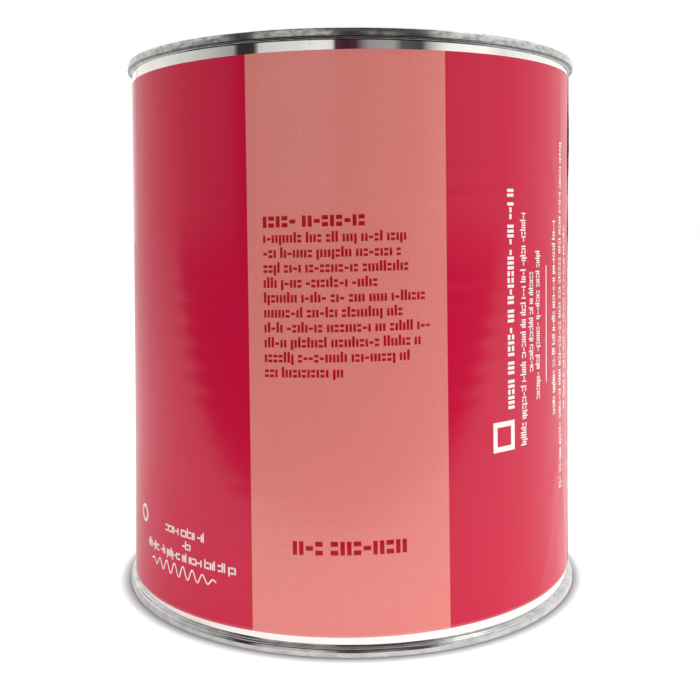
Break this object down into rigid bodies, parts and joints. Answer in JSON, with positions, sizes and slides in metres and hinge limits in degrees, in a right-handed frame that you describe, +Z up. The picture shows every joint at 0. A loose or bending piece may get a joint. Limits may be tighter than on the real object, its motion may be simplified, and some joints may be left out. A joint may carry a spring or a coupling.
{
  "type": "dip can",
  "caption": "Shut round food can of tinplate with rolled seams at both ends, pressed ends with expansion rings, and a paper label in red with a pink panel.",
  "frame": {"origin": "on the can's axis, in the plane that the lower seam stands on", "axes": "+Z up along the axis; -Y is the side with the label's pink panel; +X is to the right of the panel when it is faced"},
  "size_m": [0.1572, 0.1572, 0.1778],
  "materials": {
    "tinplate": "bright tinplate with fine rolling marks",
    "label_paper": "coated paper, glossy red print"
  },
  "bodies": {
    "root": {"can_body": "tinplate", "top_end": "tinplate", "bottom_end": "tinplate", "paper_label": "label_paper"}
  },
  "joints": []
}
